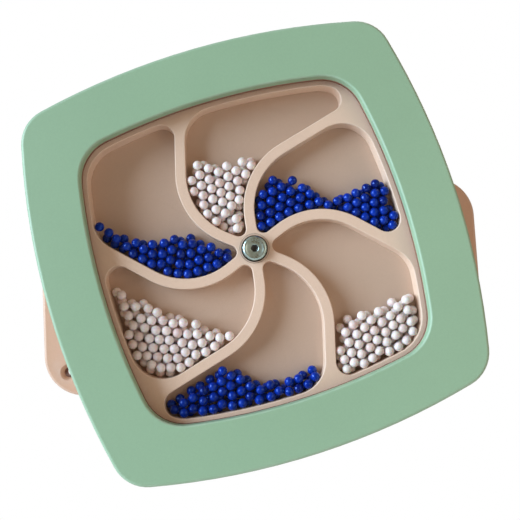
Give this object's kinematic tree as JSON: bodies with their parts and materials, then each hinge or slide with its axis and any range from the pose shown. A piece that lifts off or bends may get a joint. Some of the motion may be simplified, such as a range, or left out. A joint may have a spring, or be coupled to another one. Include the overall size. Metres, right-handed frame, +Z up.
{
  "type": "bead wheel wall toy",
  "caption": "Square wheel with bowed sides and a clear window over curved bead pockets, turning on a bolt in front of a wall plate.",
  "frame": {"origin": "middle of the wall plate's back face", "axes": "+Z up, the front looks along -Y, +Y into the wall; the wheel's axis is parallel to Y, 21 mm above the origin and 4.8 mm to its left"},
  "size_m": [0.278, 0.047, 0.2684],
  "materials": {
    "peach_board": "smooth lacquer, satin",
    "mint_board": "smooth lacquer, satin",
    "clear_pane": "clear, polished",
    "steel": "zinc plated, satin",
    "nylon": "matt",
    "nut_ring": "matt",
    "blue_beads": "glossy",
    "white_beads": "glossy"
  },
  "bodies": {
    "mount": {"wall_plate": "peach_board", "rear_spacer": "nylon", "pivot_sleeve": "steel", "pivot_bolt": "steel", "head_washer": "steel", "nut_washer": "steel", "lock_nut": "steel", "lock_nut_ring": "nut_ring"},
    "wheel": {"back_board": "peach_board", "vane_board": "peach_board", "front_frame": "mint_board", "window_pane": "clear_pane", "hub_bush": "nylon", "frame_screws": "steel", "blue_beads_upper_right": "blue_beads", "blue_beads_upper_left": "blue_beads", "blue_beads_bottom": "blue_beads", "white_beads_top": "white_beads", "white_beads_lower_left": "white_beads", "white_beads_lower_right": "white_beads"}
  },
  "joints": [
    {"name": "wheel_spin", "type": "hinge", "parent": "mount", "child": "wheel", "pos_m": [-0.0048, -0.025, 0.021], "axis": [0, -1, 0], "continuous": true}
  ]
}
